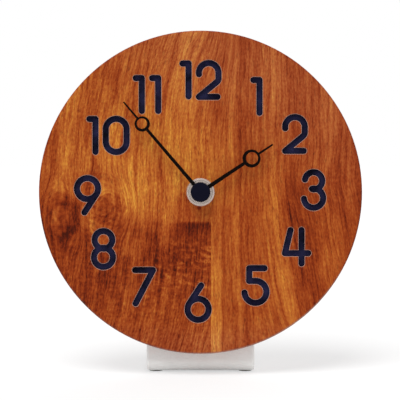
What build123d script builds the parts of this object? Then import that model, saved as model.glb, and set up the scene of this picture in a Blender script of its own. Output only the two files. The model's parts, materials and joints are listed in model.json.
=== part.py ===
from build123d import *
import functools
import math
import os

# A round wooden desk clock that stands on a bent steel strap, with a battery quartz movement
# behind its dial. Lengths are millimetres and angles are degrees. The clock is built in its own
# frame: x to the right, y up the dial, z out of the dial's front, and zero on the dial's back
# face at the hand axis. Then it is leaned back and set down on the ground.

# Dial of two glued boards
dial_diameter = 165.0
dial_thickness = 10.0
dial_edge_round = 1.0
dial_rim_height = 10.7
dial_lean = 5.0
seam_x = 5.4
hole_clearance = 0.2

# Numerals, routed with a round cutter and painted
numeral_height = 20.4
numeral_stroke = 3.15
numeral_gap = 2.1
groove_depth = 2.0
groove_lip_width = 0.25
groove_lip_depth = 0.2
paint_thickness = 0.3

# Hands, their cap and the round nut
hour_hand_length = 44.0
hour_hand_width = 2.2
hour_ring_radius = 4.6
minute_hand_length = 60.1
minute_hand_width = 1.95
minute_ring_radius = 3.9
hand_thickness = 0.4
hand_hub_radius = 3.8
hour_hand_turn = 56.6
minute_hand_turn = 319.5
nut_diameter = 14.3
nut_thickness = 2.4
nut_step = 0.6
nut_edge = 0.4
cap_diameter = 10.0
cap_thickness = 2.2
cap_edge = 0.5
collet_length = 1.0
collet_wall = 0.9
hand_gap = 1.2
press_gap = 0.02

# Strap stand
stand_width = 55.6
stand_thickness = 3.0
stand_edge_round = 1.4
stand_bend_radius = 3.0
stand_corner_round = 9.0
foot_length = 68.0
tongue_rise = 20.0
pad_diameter = 7.0
pad_thickness = 0.6
pad_side_inset = 1.2
pad_back_inset = 4.0
wood_screw_diameter = 3.0
wood_screw_bite = 7.0
wood_screw_head_diameter = 6.4
wood_screw_head_height = 2.0
wood_screw_spread = 32.0
wood_screw_drop = 40.0
driver_slot = 0.8
cut_overrun = 1.0

# Movement case
stem_diameter = 8.0
stem_proud = 0.5
bushing_flange_radius = 6.5
gasket_diameter = 26.0
gasket_thickness = 1.0
case_wall = 1.2
case_corner_round = 3.0
case_edge_round = 0.5
finger_notch_width = 22.0
finger_notch_depth = 6.0
finger_notch_round = 2.0
lid_rim_height = 0.6
lid_rim_wall = 1.0
lid_gap = 0.15
knob_recess_depth = 0.4
running_gap = 0.05
end_play = 0.3

# Motion work
motion_module = 0.4
cannon_teeth = 12
minute_wheel_teeth = 36
minute_pinion_teeth = 8
hour_wheel_teeth = 32
motion_thickness = 1.2
pipe_wall = 0.7
minute_shaft_radius = 1.7
minute_tip_radius = 1.35
minute_tail_radius = 1.1
minute_post_radius = 0.8
setting_shaft_radius = 1.2
setting_collar_radius = 2.0
knob_diameter = 12.0
knob_height = 3.0
knob_flutes = 20
knob_flute_radius = 0.55
clutch_washer_radius = 2.8
clutch_washer_thickness = 0.3
clutch_gap = 0.1

# Going train, from the hands' axis out to the motor
train_thickness = 0.8
train_layer_gap = 0.5
centre_wheel_teeth = 64
third_wheel_teeth = 60
fourth_wheel_teeth = 40
fifth_wheel_teeth = 48
train_pinion_teeth = 8
centre_module = 0.3
third_module = 0.3
fourth_module = 0.25
fifth_module = 0.2
arbor_radius = 0.5
pivot_radius = 0.35
thick_pivot_radius = 0.7
pivot_length = 1.2
wheel_hub_wall = 0.9
boss_radius = 1.4
wheel_windows = 4

# Directions between axes, seen from the front and counted from x
minute_wheel_direction = 170.0
setting_direction = 150.0
third_direction = 50.0
fourth_direction = -30.0
fifth_direction = 80.0
rotor_direction = 100.0
bridge_post_directions = (116.0, -28.0, -5.0)

# Tooth form in modules, the same for every pair
wheel_tooth_share = 1.45
pinion_tooth_share = 1.15
wheel_addendum_share = 0.95
pinion_addendum_share = 0.6
wheel_dedendum_share = 1.0
pinion_dedendum_share = 1.35
flank_steps = 2

# Stepping motor
magnet_radius = 3.0
magnet_length = 2.4
magnet_hub_radius = 0.8
air_gap = 0.4
stator_thickness = 0.8
stator_pole_wall = 1.2
stator_bar_height = 5.0
core_thickness = 0.8
core_width = 3.0
core_span = 34.0
leg_width = 4.0
leg_offset = 3.2
coil_radius = 3.0
coil_tube_radius = 1.9
flange_radius = 3.5
flange_thickness = 0.8
coil_gap = 0.3

# Bridge, board and small screws
bridge_thickness = 1.0
bridge_edge = 2.2
post_radius = 1.3
post_gap = 0.4
small_screw_radius = 0.7
small_head_radius = 1.2
small_head_height = 0.6
small_screw_bite = 4.0
board_thickness = 0.8
board_post_inset = 2.2
board_pin_radius = 0.6
board_pin_proud = 0.3
crystal_radius = 1.0
crystal_length = 6.2
crystal_lead_length = 1.5
crystal_lead_radius = 0.2
crystal_lead_spacing = 0.7
chip_radius = 2.6
chip_height = 1.0
chip_round = 0.7
board_gap = 0.1

# Battery bay, cell and contacts
battery_length = 50.5
battery_diameter = 14.5
battery_nub_radius = 2.75
battery_nub_length = 1.0
battery_end_round = 0.5
sleeve_thickness = 0.25
bay_gap = 0.3
contact_thickness = 0.4
contact_width = 10.0
contact_neck = 1.2
contact_gap = 0.05
spring_depth = 2.2
spring_width = 6.0
spring_thickness = 0.3

# Centres of the numerals, as shares of the dial's radius to the right and up
numeral_place_shares = {
    12: (0.000, 0.694), 1: (0.346, 0.592), 2: (0.584, 0.360), 3: (0.699, 0.014),
    4: (0.594, -0.339), 5: (0.340, -0.577), 6: (-0.015, -0.682), 7: (-0.349, -0.586),
    8: (-0.600, -0.351), 9: (-0.699, -0.020), 10: (-0.572, 0.351), 11: (-0.331, 0.604),
}

# Cutter paths of the digits, as shares of the path's height: a straight run has two ends,
# and a curve has its centre, radius, start angle and sweep
digit_path_shares = {
    "0": [(0, 0.182, 0.308, 0, 180), (-0.308, 0.182, -0.308, -0.182),
          (0, -0.182, 0.308, 180, 180), (0.308, -0.182, 0.308, 0.182)],
    "1": [(-0.09, 0.485, 0.09, 0.485), (0.09, 0.485, 0.09, -0.485)],
    "2": [(0, 0.21, 0.29, 0, 188), (0.29, 0.21, 0.29, 0.05), (0.14, 0.05, 0.15, -50, 50),
          (0.236, -0.066, -0.29, -0.5), (-0.29, -0.5, 0.26, -0.5)],
    "3": [(0, 0.269, 0.256, -90, 261), (0, -0.243, 0.284, -176, 266), (-0.05, 0.03, 0, 0.03)],
    "4": [(-0.172, 0.497, -0.337, -0.183), (-0.337, -0.183, 0.352, -0.183),
          (0.155, 0.503, 0.155, -0.488)],
    "5": [(0.257, 0.512, -0.192, 0.512), (-0.192, 0.512, -0.197, 0.136),
          (-0.197, 0.136, -0.009, 0.136), (-0.009, -0.189, 0.325, -176, 266)],
    "6": [(0.009, -0.201, 0.311, 0, 360), (0.098, 0.503, -0.251, -0.031)],
    "7": [(-0.266, 0.5, 0.263, 0.5), (0.263, 0.5, -0.251, -0.488)],
    "8": [(0, 0.269, 0.260, 0, 360), (0, -0.249, 0.281, 0, 360)],
    "9": [(-0.009, 0.201, 0.311, 0, 360), (-0.098, -0.503, 0.251, 0.031)],
}

# Where each hand's ring sits and how its arm and tip taper, as shares of length and width
hour_ring_place_share = 0.705
minute_ring_place_share = 0.757
ring_bore_share = 0.67
ring_bore_shift_share = 0.1
arm_end_share = 0.74
tip_start_share = 0.62
tip_end_share = 0.4

# Heights through the dial and the hands, from the dial's back face
nut_front = dial_thickness + nut_thickness
stem_front = nut_front + stem_proud
collet_back = stem_front + end_play
hour_hand_back = collet_back + collet_length
hour_hand_front = hour_hand_back + hand_thickness
minute_hand_back = hour_hand_front + hand_gap
minute_hand_front = minute_hand_back + hand_thickness
cap_front = minute_hand_front + cap_thickness
movement_face = -stand_thickness - gasket_thickness

# Radii around the hand axis
stem_radius = stem_diameter / 2
pipe_bore_radius = minute_shaft_radius + running_gap
pipe_radius = pipe_bore_radius + pipe_wall
collet_radius = pipe_radius + collet_wall

# Depths of the layers behind the movement's front face
hour_near = case_wall + end_play
hour_far = hour_near + motion_thickness
cannon_near = hour_far + end_play
cannon_far = cannon_near + motion_thickness
washer_near = cannon_far + clutch_gap
washer_far = washer_near + clutch_washer_thickness
centre_near = washer_far + clutch_gap
layer_step = train_thickness + train_layer_gap
third_near = centre_near + layer_step
fourth_near = third_near + layer_step
fifth_near = fourth_near + layer_step
magnet_near = fifth_near + layer_step
magnet_far = magnet_near + magnet_length
bridge_near = magnet_far + end_play
bridge_far = bridge_near + bridge_thickness
lid_near = bridge_far + small_head_height + end_play
case_depth = lid_near + case_wall
stator_near = magnet_near + (magnet_length - stator_thickness) / 2
stator_far = stator_near + stator_thickness
core_near = stator_near - core_thickness
core_middle = stator_near - core_thickness / 2
board_near = stator_far + train_layer_gap
board_far = board_near + board_thickness
battery_depth = case_wall + bay_gap + battery_diameter / 2
knob_near = case_depth + end_play
knob_far = knob_near + knob_height
setting_collar_near = board_far + end_play
setting_collar_far = lid_near - end_play


def beside(place, direction, distance):
    """The place at a distance and direction from another place."""
    angle = math.radians(direction)
    return (place[0] + distance * math.cos(angle), place[1] + distance * math.sin(angle))


def pitch_radius(teeth, module):
    return teeth * module / 2


def centre_distance(teeth, mate_teeth, module):
    return pitch_radius(teeth, module) + pitch_radius(mate_teeth, module)


def tip_radius(teeth, module, addendum_share):
    return pitch_radius(teeth, module) + addendum_share * module


def meshed_turn(turn, teeth, mate_teeth, direction):
    """Angle of the mate whose teeth mesh with a gear that is itself at a known angle."""
    phase = (direction - turn) * teeth / 360
    return direction + 180 - (0.5 - phase) * 360 / mate_teeth


# Places and angles of the axes, on a grid of x and y
hand_axis = (0, 0)
motion_distance = centre_distance(cannon_teeth, minute_wheel_teeth, motion_module)
hour_module = 2 * motion_distance / (hour_wheel_teeth + minute_pinion_teeth)
minute_wheel_place = beside(hand_axis, minute_wheel_direction, motion_distance)
setting_place = beside(minute_wheel_place, setting_direction, motion_distance)
third_place = beside(hand_axis, third_direction,
                     centre_distance(centre_wheel_teeth, train_pinion_teeth, centre_module))
fourth_place = beside(third_place, fourth_direction,
                      centre_distance(third_wheel_teeth, train_pinion_teeth, third_module))
fifth_place = beside(fourth_place, fifth_direction,
                     centre_distance(fourth_wheel_teeth, train_pinion_teeth, fourth_module))
rotor_place = beside(fifth_place, rotor_direction,
                     centre_distance(fifth_wheel_teeth, train_pinion_teeth, fifth_module))

minute_wheel_turn = meshed_turn(0, cannon_teeth, minute_wheel_teeth, minute_wheel_direction)
hour_wheel_turn = meshed_turn(0, minute_pinion_teeth, hour_wheel_teeth, minute_wheel_direction + 180)
setting_turn = meshed_turn(minute_wheel_turn, minute_wheel_teeth, cannon_teeth, setting_direction)
third_pinion_turn = meshed_turn(0, centre_wheel_teeth, train_pinion_teeth, third_direction)
fourth_pinion_turn = meshed_turn(0, third_wheel_teeth, train_pinion_teeth, fourth_direction)
fifth_pinion_turn = meshed_turn(0, fourth_wheel_teeth, train_pinion_teeth, fifth_direction)
rotor_pinion_turn = meshed_turn(0, fifth_wheel_teeth, train_pinion_teeth, rotor_direction)

# Walls of the case, set out around the train and the cell
centre_tip = tip_radius(centre_wheel_teeth, centre_module, wheel_addendum_share)
fifth_tip = tip_radius(fifth_wheel_teeth, fifth_module, wheel_addendum_share)
post_reach = centre_tip + post_radius + post_gap
bridge_post_places = [
    beside(hand_axis, bridge_post_directions[0], post_reach),
    beside(hand_axis, bridge_post_directions[1], post_reach),
    beside(fifth_place, bridge_post_directions[2], fifth_tip + post_radius + 2 * post_gap),
]
right_post_edge = bridge_post_places[2][0] + post_radius + post_gap
setting_edge = abs(setting_place[0]) + knob_diameter / 2
battery_room = battery_length + 2 * contact_thickness + 2 * contact_gap + spring_depth
room_half_width = max(battery_room / 2, right_post_edge, setting_edge)
case_half_width = room_half_width + case_wall
bay_wall_top = -(centre_tip + contact_thickness + 2 * clutch_gap)
bay_top = bay_wall_top - case_wall
battery_y = bay_top - bay_gap - battery_diameter / 2
bay_bottom = battery_y - battery_diameter / 2 - bay_gap
case_bottom = bay_bottom - case_wall
pole_radius = magnet_radius + air_gap + stator_pole_wall
coil_y = rotor_place[1] + pole_radius + coil_gap + flange_radius
room_top = coil_y + flange_radius + coil_gap
case_top = room_top + case_wall
case_middle = (case_top + case_bottom) / 2
right_leg_x = rotor_place[0] + leg_offset
left_leg_x = right_leg_x - core_span
flange_left = left_leg_x + leg_width / 2 + end_play
flange_right = right_leg_x - leg_width / 2 - end_play
board_left = -room_half_width + contact_thickness + board_gap
board_right = flange_left - board_gap
board_bottom = bay_wall_top + contact_thickness + board_gap
board_top = coil_y - small_head_radius - end_play
board_post_places = [
    (board_left + board_post_inset, board_bottom + board_post_inset),
    (board_right - board_post_inset, board_bottom + board_post_inset),
    (board_left + board_post_inset, board_top - board_post_inset),
]
stator_post_places = [(left_leg_x, coil_y), (right_leg_x, coil_y)]


def between(sketch, low, high):
    """A sketch drawn out from one height to another, measured from the dial's back face."""
    return Pos(0, 0, low) * extrude(sketch, high - low)


def deep(sketch, near, far):
    """A sketch drawn out between two depths behind the movement's front face."""
    return between(sketch, movement_face - far, movement_face - near)


def rod(place, radius, near, far):
    return deep(Pos(*place) * Circle(radius), near, far)


def plate(left, right, bottom, top):
    """A rectangle by its four sides."""
    return Pos((left + right) / 2, (bottom + top) / 2) * Rectangle(right - left, top - bottom)


def straight_stroke(x1, y1, x2, y2, stroke):
    angle = math.degrees(math.atan2(y2 - y1, x2 - x1))
    slot = SlotCenterToCenter(math.hypot(x2 - x1, y2 - y1), stroke, rotation=angle)
    return Pos((x1 + x2) / 2, (y1 + y2) / 2) * slot


def curved_stroke(x, y, radius, start, sweep, stroke):
    if sweep == 360:
        return Pos(x, y) * (Circle(radius + stroke / 2) - Circle(radius - stroke / 2))
    return SlotArc(CenterArc((x, y), radius, start, sweep), stroke)


@functools.cache
def digit_face(digit, stroke):
    """One digit as a round cutter of the stroke's width leaves it, around its own middle."""
    path_height = numeral_height - numeral_stroke
    strokes = []
    for path in digit_path_shares[digit]:
        if len(path) == 4:
            strokes.append(straight_stroke(*[share * path_height for share in path], stroke))
        else:
            lengths = [share * path_height for share in path[:3]]
            strokes.append(curved_stroke(*lengths, *path[3:], stroke))
    return Sketch() + strokes


def digit_places():
    """Each digit with its place on the dial, two of them side by side where needed."""
    places = []
    for hour, (right_share, up_share) in numeral_place_shares.items():
        digits = str(hour)
        boxes = [digit_face(digit, numeral_stroke).bounding_box() for digit in digits]
        width = sum(box.size.X for box in boxes) + numeral_gap * (len(digits) - 1)
        left = right_share * dial_diameter / 2 - width / 2
        for digit, box in zip(digits, boxes):
            places.append((digit, left - box.min.X, up_share * dial_diameter / 2))
            left += box.size.X + numeral_gap
    return places


def numeral_faces(stroke):
    return [Pos(x, y) * digit_face(digit, stroke) for digit, x, y in digit_places()]


def make_dial():
    """The two boards, cut from one round blank along the glue line."""
    blank = between(Circle(dial_diameter / 2), 0, dial_thickness)
    blank = fillet(blank.edges().filter_by(GeomType.CIRCLE), dial_edge_round)
    blank -= between(Circle(stem_radius + hole_clearance), -cut_overrun, dial_thickness + cut_overrun)
    floor = dial_thickness - groove_depth
    lip = dial_thickness - groove_lip_depth
    blank -= [between(face, floor, dial_thickness + cut_overrun)
              for face in numeral_faces(numeral_stroke)]
    blank -= [between(face, lip, dial_thickness + cut_overrun)
              for face in numeral_faces(numeral_stroke + 2 * groove_lip_width)]
    for place in wood_screw_places():
        blank -= between(Pos(*place) * Circle(wood_screw_diameter / 2), -cut_overrun, wood_screw_bite)
    left = plate(-dial_diameter, seam_x, -dial_diameter, dial_diameter)
    right = plate(seam_x, dial_diameter, -dial_diameter, dial_diameter)
    return (blank & between(left, -cut_overrun, dial_thickness + cut_overrun),
            blank & between(right, -cut_overrun, dial_thickness + cut_overrun))


def make_numeral_paint():
    floor = dial_thickness - groove_depth
    return [between(face, floor, floor + paint_thickness) for face in numeral_faces(numeral_stroke)]


def wood_screw_places():
    return [(-wood_screw_spread / 2, -wood_screw_drop), (wood_screw_spread / 2, -wood_screw_drop)]


def make_wood_screws():
    """Round-head screws, driven from behind the strap into the dial."""
    screws = []
    head_back = -stand_thickness - wood_screw_head_height
    for place in wood_screw_places():
        head = between(Circle(wood_screw_head_diameter / 2), head_back, -stand_thickness)
        head = fillet(head.edges().group_by(Axis.Z)[0], wood_screw_head_height / 2)
        for angle in (0, 90):
            slot = Rectangle(wood_screw_head_diameter / 2, driver_slot, rotation=angle)
            head -= between(slot, head_back - cut_overrun, head_back + wood_screw_head_height / 2)
        shank = between(Circle(wood_screw_diameter / 2), -stand_thickness, wood_screw_bite)
        screws.append(Pos(*place) * (head + shank))
    return screws


def make_hand(length, width, ring_share, ring_radius, bore, turn):
    """A sheet hand that points up the dial, turned to its time."""
    ring_place = ring_share * length
    arm_end = arm_end_share * width
    tip_start = tip_start_share * width
    tip_end = tip_end_share * width
    arm = Polygon((-width / 2, 0), (width / 2, 0), (arm_end / 2, ring_place),
                  (-arm_end / 2, ring_place), align=None)
    tip = Polygon((-tip_start / 2, ring_place), (tip_start / 2, ring_place),
                  (tip_end / 2, length), (-tip_end / 2, length), align=None)
    hand = arm + tip + Circle(hand_hub_radius) + Pos(0, ring_place) * Circle(ring_radius)
    bore_shift = ring_bore_shift_share * (1 - ring_bore_share) * ring_radius * 2
    hand -= Pos(0, ring_place + bore_shift) * Circle(ring_bore_share * ring_radius)
    hand -= Circle(bore)
    return Rot(0, 0, -turn) * hand


def make_nut():
    """A round nut with a stepped face."""
    nut = between(Circle(nut_diameter / 2), dial_thickness, nut_front)
    nut = chamfer(nut.edges().filter_by(GeomType.CIRCLE).group_by(Axis.Z)[-1], nut_edge)
    step = Circle(nut_diameter / 2 - nut_step - nut_edge) - Circle(stem_radius)
    nut -= between(step, nut_front - nut_step / 2, nut_front + cut_overrun)
    return nut - between(Circle(stem_radius + press_gap), 0, nut_front + cut_overrun)


def make_cap():
    cap = between(Circle(cap_diameter / 2), minute_hand_front, cap_front)
    cap = fillet(cap.edges().group_by(Axis.Z)[-1], cap_edge)
    bore_end = minute_hand_front + cap_thickness / 2
    return cap - between(Circle(minute_tip_radius + press_gap), minute_hand_front, bore_end)


def lean_frame():
    """Where the clock's own frame lies once it stands: leaned back above the ground."""
    lean = math.radians(dial_lean)
    height = dial_rim_height + dial_diameter / 2 * math.cos(lean)
    return Plane(origin=(0, 0, height), x_dir=(1, 0, 0), z_dir=(0, -math.cos(lean), math.sin(lean)))


def strap_path():
    """The middle line of the strap: down behind the dial, round the bend, back along the ground."""
    frame = lean_frame()
    top = frame.from_local_coords(Vector(0, tongue_rise, -stand_thickness / 2))
    down = -frame.y_dir
    foot_height = pad_thickness + stand_thickness / 2
    drop = (foot_height - top.Z) / down.Z
    corner = top + down * drop
    end = corner + Vector(0, foot_length, 0)
    return FilletPolyline(top, corner, end, radius=stand_bend_radius + stand_thickness / 2)


def foot_start():
    """The y at which the strap's foot comes out of its bend and lies flat."""
    return strap_path().edges().sort_by(Axis.Y)[-1].start_point().Y


def corner_cutter(radius, depth):
    """What rounding takes off an outer corner that points along x and y."""
    side = radius + cut_overrun
    wedge = Rectangle(side, side, align=(Align.MIN, Align.MIN)) - Circle(radius)
    return extrude(wedge, depth / 2, both=True)


def make_stand():
    """The strap, swept with round edges, with its corners rounded and its holes drilled."""
    path = strap_path()
    section_plane = Plane(origin=path @ 0, x_dir=(1, 0, 0), z_dir=path % 0)
    section = RectangleRounded(stand_width, stand_thickness, stand_edge_round)
    strap = sweep(section_plane * section, path=path)
    frame = lean_frame()
    side = stand_width / 2 - stand_corner_round
    cutter = corner_cutter(stand_corner_round, stand_thickness + cut_overrun)
    foot_end = path @ 1
    for mirror_side in (1, -1):
        flip = Rot(0, 0, 0) if mirror_side == 1 else Rot(0, 180, 0)
        tongue_corner = Pos(mirror_side * side, tongue_rise - stand_corner_round, -stand_thickness / 2)
        strap -= frame.location * tongue_corner * flip * cutter
        foot_corner = Pos(mirror_side * side, foot_end.Y - stand_corner_round, foot_end.Z)
        strap -= foot_corner * flip * cutter
    holes = between(Circle(stem_radius + hole_clearance), -stand_thickness - cut_overrun, cut_overrun)
    for place in wood_screw_places():
        hole = Pos(*place) * Circle(wood_screw_diameter / 2 + hole_clearance)
        holes += between(hole, -stand_thickness - cut_overrun, cut_overrun)
    return strap - frame.location * holes


def make_pads():
    """Four rubber discs under the foot, at its corners."""
    side = stand_width / 2 - pad_side_inset - pad_diameter / 2
    front = foot_start() + pad_diameter / 2
    back = (strap_path() @ 1).Y - pad_back_inset - pad_diameter / 2
    pads = []
    for x in (-side, side):
        for y in (front, back):
            pads.append(Pos(x, y, 0) * extrude(Circle(pad_diameter / 2), pad_thickness))
    return pads


def epicycloid_lag(base_radius, rolling_radius, radius):
    """Angle by which an epicycloid has moved aside where it reaches a radius."""
    arm = base_radius + rolling_radius
    cosine = (arm ** 2 + rolling_radius ** 2 - radius ** 2) / (2 * arm * rolling_radius)
    roll = math.acos(cosine)
    turn = roll * rolling_radius / base_radius
    x = arm * math.cos(turn) - rolling_radius * math.cos(turn + roll)
    y = arm * math.sin(turn) - rolling_radius * math.sin(turn + roll)
    return math.atan2(y, x)


def gear_face(teeth, mate_teeth, module, tooth_share, addendum_share, dedendum_share, turn):
    """Cycloidal teeth: radial below the pitch circle and epicycloid above it."""
    base = pitch_radius(teeth, module)
    rolling = pitch_radius(mate_teeth, module) / 2
    half_tooth = tooth_share * module / base / 2
    flank = [(base - dedendum_share * module, half_tooth), (base, half_tooth)]
    for step in range(1, flank_steps + 1):
        radius = base + addendum_share * module * step / flank_steps
        flank.append((radius, half_tooth - epicycloid_lag(base, rolling, radius)))
    rising = [(radius, -angle) for radius, angle in flank]
    points = []
    for tooth in range(teeth):
        middle = math.radians(turn) + 2 * math.pi * tooth / teeth
        for radius, angle in rising + flank[::-1]:
            points.append((radius * math.cos(middle + angle), radius * math.sin(middle + angle)))
    return Polygon(*points, align=None)


def wheel_face(teeth, mate_teeth, module, turn):
    return gear_face(teeth, mate_teeth, module, wheel_tooth_share, wheel_addendum_share,
                     wheel_dedendum_share, turn)


def pinion_face(teeth, mate_teeth, module, turn):
    return gear_face(teeth, mate_teeth, module, pinion_tooth_share, pinion_addendum_share,
                     pinion_dedendum_share, turn)


def windowed(face, rim_radius, hub_radius):
    """A wheel face with round windows between its hub and its rim."""
    window_radius = (rim_radius - hub_radius) / 4
    return face - [Pos(*beside(hand_axis, 360 * window / wheel_windows, (rim_radius + hub_radius) / 2))
                   * Circle(window_radius)
                   for window in range(wheel_windows)]


def make_minute_arbor():
    """Shaft that carries the minute hand, with the cannon pinion moulded on."""
    pinion = pinion_face(cannon_teeth, minute_wheel_teeth, motion_module, 0)
    arbor = deep(pinion, cannon_near, cannon_far)
    arbor += between(Circle(minute_shaft_radius), movement_face - cannon_near, minute_hand_back)
    tip_end = minute_hand_front + cap_thickness / 2 - press_gap
    arbor += between(Circle(minute_tip_radius), minute_hand_back, tip_end)
    arbor += rod(hand_axis, minute_tail_radius, cannon_far, bridge_near - end_play)
    return arbor + rod(hand_axis, thick_pivot_radius, bridge_near - end_play, bridge_far - end_play)


def make_hour_wheel():
    """Wheel and pipe that carry the hour hand round the minute arbor."""
    wheel = deep(wheel_face(hour_wheel_teeth, minute_pinion_teeth, hour_module, hour_wheel_turn),
                 hour_near, hour_far)
    wheel += between(Circle(pipe_radius), movement_face - hour_near, hour_hand_front)
    return wheel - between(Circle(pipe_bore_radius), movement_face - hour_far, hour_hand_front)


def make_minute_wheel():
    """Wheel and pinion that turn on a fixed post between cannon pinion and hour wheel."""
    wheel = deep(wheel_face(minute_wheel_teeth, cannon_teeth, motion_module, minute_wheel_turn),
                 cannon_near, cannon_far)
    pinion = pinion_face(minute_pinion_teeth, hour_wheel_teeth, hour_module, 0)
    wheel += deep(pinion, hour_near, cannon_near)
    bore = deep(Circle(minute_post_radius + running_gap), hour_near, cannon_far)
    return Pos(*minute_wheel_place) * (wheel - bore)


def make_setting_arbor():
    """Shaft behind the knob, with the pinion that turns the minute wheel."""
    pinion = pinion_face(cannon_teeth, minute_wheel_teeth, motion_module, setting_turn)
    arbor = deep(pinion, cannon_near, cannon_far)
    arbor += rod(hand_axis, thick_pivot_radius, cannon_near - pivot_length, cannon_near)
    arbor += rod(hand_axis, setting_shaft_radius, cannon_far, knob_near + knob_height / 2)
    collar = rod(hand_axis, setting_collar_radius, setting_collar_near, setting_collar_far)
    return Pos(*setting_place) * (arbor + collar)


def make_knob():
    """Fluted knob, pressed on the setting shaft behind the lid."""
    knob = rod(hand_axis, knob_diameter / 2, knob_near, knob_far)
    knob = fillet(knob.edges().group_by(Axis.Z)[0], knob_flute_radius)
    knob -= [rod(beside(hand_axis, 360 * flute / knob_flutes, knob_diameter / 2), knob_flute_radius,
                 knob_near - cut_overrun, knob_far + cut_overrun)
             for flute in range(knob_flutes)]
    knob -= rod(hand_axis, setting_shaft_radius + press_gap, knob_near, knob_near + knob_height / 2)
    return Pos(*setting_place) * knob


def make_centre_wheel():
    """Wheel that drives the hands through the clutch washer."""
    hub_radius = minute_tail_radius + running_gap + wheel_hub_wall
    face = wheel_face(centre_wheel_teeth, train_pinion_teeth, centre_module, 0)
    rim = pitch_radius(centre_wheel_teeth, centre_module) - 2 * centre_module
    wheel = deep(windowed(face, rim, hub_radius), centre_near, centre_near + train_thickness)
    wheel += rod(hand_axis, hub_radius, centre_near, third_near)
    return wheel - rod(hand_axis, minute_tail_radius + running_gap, centre_near, third_near)


def make_train_wheel(place, teeth, mate_teeth, module, pinion_mate, pinion_module, pinion_turn,
                     near, boss_end):
    """A wheel with its pinion in front of it, on an arbor with a pivot at each end."""
    hub_radius = arbor_radius + wheel_hub_wall
    face = wheel_face(teeth, mate_teeth, module, 0)
    rim = pitch_radius(teeth, module) - 2 * module
    far = near + train_thickness
    wheel = deep(windowed(face, rim, hub_radius), near, far)
    pinion_near = near - layer_step - clutch_gap
    pinion = pinion_face(train_pinion_teeth, pinion_mate, pinion_module, pinion_turn)
    wheel += deep(pinion, pinion_near, near)
    wheel += rod(hand_axis, pivot_radius, boss_end - pivot_length, pinion_near)
    wheel += rod(hand_axis, arbor_radius, far, bridge_near - end_play)
    wheel += rod(hand_axis, pivot_radius, bridge_near - end_play, bridge_far - end_play)
    return Pos(*place) * wheel


def make_rotor_arbor():
    """Plastic arbor and pinion that the magnet is pressed on."""
    pinion_near = fifth_near - clutch_gap
    pinion = pinion_face(train_pinion_teeth, fifth_wheel_teeth, fifth_module, rotor_pinion_turn)
    arbor = deep(pinion, pinion_near, magnet_near)
    arbor += rod(hand_axis, pivot_radius, train_boss_end - pivot_length, pinion_near)
    arbor += rod(hand_axis, magnet_hub_radius, magnet_near, magnet_far)
    arbor += rod(hand_axis, pivot_radius, magnet_far, bridge_far - end_play)
    return Pos(*rotor_place) * arbor


def make_magnet():
    ring = Circle(magnet_radius) - Circle(magnet_hub_radius + press_gap)
    return Pos(*rotor_place) * deep(ring, magnet_near, magnet_far)


def make_stator():
    """Soft-iron plate: a bar around the rotor with a leg up to each end of the coil's core."""
    rotor_x, rotor_y = rotor_place
    bar = plate(left_leg_x, right_leg_x, rotor_y - stator_bar_height / 2,
                rotor_y + stator_bar_height / 2)
    pole = Pos(*rotor_place) * Circle(pole_radius)
    sheet = bar + pole
    for x, y in stator_post_places:
        sheet += plate(x - leg_width / 2, x + leg_width / 2, rotor_y - stator_bar_height / 2,
                       y + leg_width / 2)
        sheet -= Pos(x, y) * Circle(small_screw_radius + running_gap)
    sheet -= Pos(*rotor_place) * Circle(magnet_radius + air_gap)
    return deep(sheet, stator_near, stator_far)


def make_coil_core():
    """Flat iron core through the coil, with a wide pad on each stator leg."""
    half = core_width / 2
    sheet = plate(left_leg_x, right_leg_x, coil_y - half, coil_y + half)
    for place in stator_post_places:
        sheet += Pos(*place) * Rectangle(leg_width, leg_width)
        sheet -= Pos(*place) * Circle(small_screw_radius + running_gap)
    return deep(sheet, core_near, stator_near)


def coil_cylinder(radius, left, right):
    """A round length along x about the coil's axis."""
    middle = Plane(origin=(left, coil_y, movement_face - core_middle), z_dir=(1, 0, 0))
    return extrude(middle * Circle(radius), right - left)


def make_bobbin():
    """Moulded bobbin: a tube round the core with a round flange at each end."""
    bobbin = coil_cylinder(coil_tube_radius, flange_left, flange_right)
    bobbin += coil_cylinder(flange_radius, flange_left, flange_left + flange_thickness)
    bobbin += coil_cylinder(flange_radius, flange_right - flange_thickness, flange_right)
    half = core_width / 2 + press_gap
    slot = plate(flange_left - cut_overrun, flange_right + cut_overrun, coil_y - half, coil_y + half)
    return bobbin - deep(slot, core_near - press_gap, stator_near + press_gap)


def make_winding():
    left = flange_left + flange_thickness
    right = flange_right - flange_thickness
    return coil_cylinder(coil_radius, left, right) - coil_cylinder(coil_tube_radius, left, right)


def small_screw(place, seat, bite):
    """A pan-head screw whose head lies on a seat, seen from the movement's back."""
    head = rod(place, small_head_radius, seat, seat + small_head_height)
    slot = Pos(*place) * Rectangle(2 * small_head_radius + cut_overrun, small_head_height / 2)
    head -= deep(slot, seat + small_head_height / 2, seat + small_head_height + cut_overrun)
    return head + rod(place, small_screw_radius, seat - bite, seat)


def make_bridge():
    """Plate behind the train that holds the rear pivots, screwed to three posts."""
    corners = [hand_axis, rotor_place] + bridge_post_places
    rims = [Pos(*place) * Circle(bridge_edge) for place in corners]
    sheet = make_hull([edge for rim in rims for edge in rim.edges()])
    sheet -= Circle(thick_pivot_radius + running_gap)
    for place in (third_place, fourth_place, fifth_place, rotor_place):
        sheet -= Pos(*place) * Circle(pivot_radius + running_gap)
    for place in bridge_post_places:
        sheet -= Pos(*place) * Circle(small_screw_radius + running_gap)
    return deep(sheet, bridge_near, bridge_far)


def make_board():
    """Circuit board beside the coil, pinned on three posts."""
    sheet = plate(board_left, board_right, board_bottom, board_top)
    sheet -= Pos(*setting_place) * Circle(setting_collar_radius + end_play)
    for place in board_post_places:
        sheet -= Pos(*place) * Circle(board_pin_radius + running_gap)
    return deep(sheet, board_near, board_far)


def crystal_place():
    return (board_left + board_post_inset, (board_bottom + setting_place[1]) / 2)


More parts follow.
